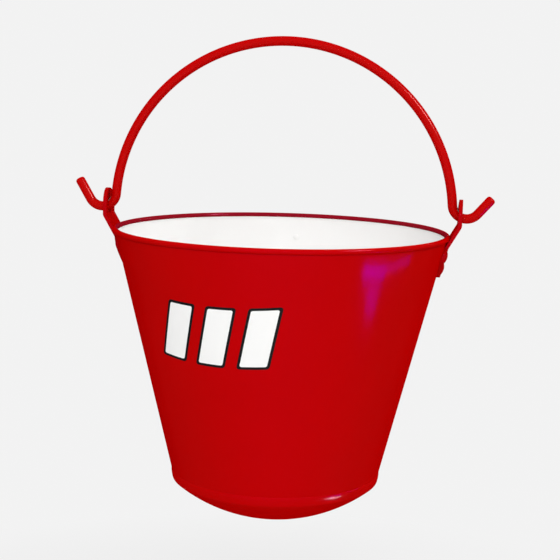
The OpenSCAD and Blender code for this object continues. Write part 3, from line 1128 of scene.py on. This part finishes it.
paint(bail_rod, bail_enamel)
for piece in [ear_left, ear_right]:
    paint(piece, fittings_enamel)
for rivet in seam_rivets + ear_rivets:
    paint(rivet, red_enamel if rivet in seam_rivets else fittings_enamel)
    paint_inside(rivet, within_wall)
for bar in white_bars:
    paint(bar, mark_white)
for bar in black_bars:
    paint(bar, mark_black)
print("every piece has its finish")

# %% [markdown]
# ## The studio
# The photograph has an even pale ground and very soft light. A bright wall behind the bucket would
# also light it from behind. So the ground is pale only for the eye, by Light Path, and the world gives
# a weaker light of its own, mostly from above and from in front. The floor under the hanging bucket
# keeps its shadow, and seen from below it is clear, so that it never hides the bucket.

# %% World
GROUND = 0.89
FRONT_LIGHT = 0.50
BACK_LIGHT = 0.30
TOP_LIGHT = 1.15
LIGHT_WAY = (0.1, -0.995, 0.0)
SIDE_START = -0.6
world = bpy.data.worlds.new("studio")
bpy.context.scene.world = world
world.use_nodes = True
sky = world.node_tree
sky.nodes.clear()


def seen_mask(tree):
    """1 for what the eye sees directly, in a mirror or through glass, else 0."""
    path = node(tree, "LightPath")
    seen = math_node(tree, "MAXIMUM", path.outputs["Is Camera Ray"], path.outputs["Is Glossy Ray"])
    return math_node(tree, "MAXIMUM", seen, path.outputs["Is Transmission Ray"])


way = node(sky, "TexCoord").outputs["Generated"]
toward = node(sky, "VectorMath", {"operation": "DOT_PRODUCT"}, i0=way, i1=LIGHT_WAY).outputs["Value"]
ahead = ramp(sky, toward, SIDE_START, 1.0, BACK_LIGHT, FRONT_LIGHT)
above = math_node(sky, "POWER", math_node(sky, "MAXIMUM", height_of(sky, way), 0.0), 2.0)
soft = math_node(sky, "MULTIPLY_ADD", above, TOP_LIGHT, ahead)
strength = node(sky, "Mix", i0=seen_mask(sky), i2=soft, i3=GROUND).outputs[0]
ground_light = node(sky, "Background", Color=(1, 1, 1, 1), Strength=strength)
world_out = node(sky, "OutputWorld")
sky.links.new(ground_light.outputs[0], world_out.inputs["Surface"])
print("the world gives", BACK_LIGHT, "from behind and", FRONT_LIGHT, "from in front")

# %% Floor
FLOOR_DROP = 0.22
FLOOR_SIZE = 12
FLOOR_CUTS = 8
FLOOR_Z = cad_box[0].z - FLOOR_DROP
bpy.ops.object.select_all(action="DESELECT")
bpy.ops.mesh.primitive_plane_add(size=FLOOR_SIZE, location=(0, 0, FLOOR_Z))
floor = bpy.context.object
floor.name = "floor"
apply_place(floor)
edit_all(floor)
bpy.ops.mesh.subdivide(number_cuts=FLOOR_CUTS)
leave_edit()
print("floor at", round(FLOOR_Z, 3))

# %% Floor finish
FLOOR_GREY = (0.66, 0.66, 0.66, 1)
SHADOW_NEAR = 0.25
SHADOW_FAR = 0.65
SHADOW_SHARE = 0.6
pale = bpy.data.materials.new("pale_floor")
pale.use_nodes = True
floor_tree = pale.node_tree
floor_tree.nodes.clear()
floor_place = node(floor_tree, "TexCoord").outputs["Object"]
away = radius_of(floor_tree, floor_place)
pale_share = ramp(floor_tree, away, SHADOW_NEAR, SHADOW_FAR, 1.0 - SHADOW_SHARE, 1.0)
own_light = math_node(floor_tree, "MULTIPLY", seen_mask(floor_tree), pale_share)
matt = node(floor_tree, "BsdfDiffuse", Color=FLOOR_GREY)
lit = node(floor_tree, "Emission", Color=(1, 1, 1, 1), Strength=GROUND)
both = node(floor_tree, "MixShader", i0=own_light, i1=matt.outputs[0], i2=lit.outputs[0])
clear = node(floor_tree, "BsdfTransparent")
from_under = node(floor_tree, "NewGeometry").outputs["Backfacing"]
one_sided = node(floor_tree, "MixShader", i0=from_under, i1=both.outputs[0], i2=clear.outputs[0])
floor_out = node(floor_tree, "OutputMaterial")
floor_tree.links.new(one_sided.outputs[0], floor_out.inputs["Surface"])
paint(floor, pale)
print("the floor's shadow fades out", SHADOW_FAR, "m from the axis")

# %% [markdown]
# ## Lamps
# The key lamp stands in front, and a second one keeps the back from going dark. The key lamp shows in
# no reflection, because it would be a hard white spot on the enamel inside. A gloss is drawn by what it
# reflects, and not by more light on the paint. So the glint lamp shows only in reflections, as a thin
# line on the rod and the bead, and leaves the colours as they are.

# %% Key, back and glint
def add_lamp(name, place, target, size, power, color=(1, 1, 1)):
    """A soft area lamp at a place, turned to a target. size is (width, height)."""
    data = bpy.data.lights.new(name, "AREA")
    data.shape = "RECTANGLE"
    data.size, data.size_y = size
    data.energy = power
    data.color = color
    lamp = bpy.data.objects.new(name, data)
    bpy.context.scene.collection.objects.link(lamp)
    lamp.location = place
    lamp.rotation_mode = "QUATERNION"
    lamp.rotation_quaternion = (Vector(target) - Vector(place)).to_track_quat("-Z", "Y")
    lamp.visible_camera = False
    return lamp


MIDDLE = (0, 0, -0.25)
KEY_PLACE = (0.2, -1.8, 0.6)
KEY_SIZE = (0.4, 0.4)
KEY_POWER = 14.0
BACK_PLACE = (1.5, 1.3, 0.5)
BACK_SIZE = (0.35, 0.35)
BACK_POWER = 13.0
GLINT_PLACE = (0.95, -0.50, 0.60)
GLINT_SIZE = (0.3, 0.3)
GLINT_POWER = 36.0
key = add_lamp("key", KEY_PLACE, MIDDLE, KEY_SIZE, KEY_POWER)
key.visible_glossy = False
add_lamp("back", BACK_PLACE, MIDDLE, BACK_SIZE, BACK_POWER)
glint = add_lamp("glint", GLINT_PLACE, MIDDLE, GLINT_SIZE, GLINT_POWER)
glint.visible_diffuse = False
print("lamps:", len(bpy.data.lights))

# %% [markdown]
# ## The low window
# The wall leans out on its way up, so it mirrors what lies low at its side. In the photograph that is a
# violet window, with the shape of a wide bar and a leg that narrows downwards. The colour could be
# painted on the wall, but it would stay there from every side. So three narrow lamps in one plane draw
# the window: its head, its side and its tail. They too show only in reflections.

# %% Window that the wall reflects
VIOLET = (0.03, 0.0, 1.0)
MIRROR_SPOT = Vector((0.0873, -0.1067, -0.1633))
WINDOW_WAY = Vector((0.871, -0.108, -0.479))
WINDOW_AWAY = 0.6


def add_window(name, across, up, size, turn, power):
    """A lamp beside the window's middle, turned by some degrees in the window's plane."""
    middle = MIRROR_SPOT + WINDOW_WAY * WINDOW_AWAY
    facing = (-WINDOW_WAY).to_track_quat("-Z", "Y")
    place = middle + facing @ Vector((across, up, 0))
    lamp = add_lamp(name, place, place - WINDOW_WAY, size, power, VIOLET)
    lamp.rotation_quaternion = facing @ Matrix.Rotation(math.radians(turn), 4, "Z").to_quaternion()
    lamp.visible_diffuse = False


add_window("window_head", across=0.08, up=0.018, size=(0.46, 0.016), turn=10, power=1.45)
add_window("window_side", across=-0.03, up=-0.014, size=(0.20, 0.03), turn=12, power=1.7)
add_window("window_tail", across=0.0, up=-0.05, size=(0.10, 0.03), turn=12, power=0.5)
print("lamps:", len(bpy.data.lights))

# %% [markdown]
# ## The streak at the foot
# The thin edge of the bottom catches a short pale streak at the right. Its lamp stands low and close,
# where the wall above would mirror it too. So its beam is narrow and points below the streak, and only
# the edge is in it.

# %% Lamp for the streak
STREAK_COLOR = (0.26, 0.72, 0.68)
STREAK = Vector((0.0537, -0.0713, -0.361))
STREAK_WAY = Vector((0.86, -0.22, -0.44))
STREAK_AWAY = 0.45
STREAK_SIZE = (0.16, 0.05)
STREAK_POWER = 0.5
BEAM_DROP = Vector((0, 0, 0.06))
BEAM_SPREAD = math.radians(24)
streak = add_lamp("streak", STREAK + STREAK_WAY * STREAK_AWAY, STREAK - BEAM_DROP, STREAK_SIZE,
                  STREAK_POWER, STREAK_COLOR)
streak.data.spread = BEAM_SPREAD
streak.visible_diffuse = False
print("lamps:", len(bpy.data.lights))

# %% [markdown]
# ## View
# The view transform is Standard, so that a colour renders as it is written.

# %% Finish
view = bpy.context.scene.view_settings
view.view_transform = "Standard"
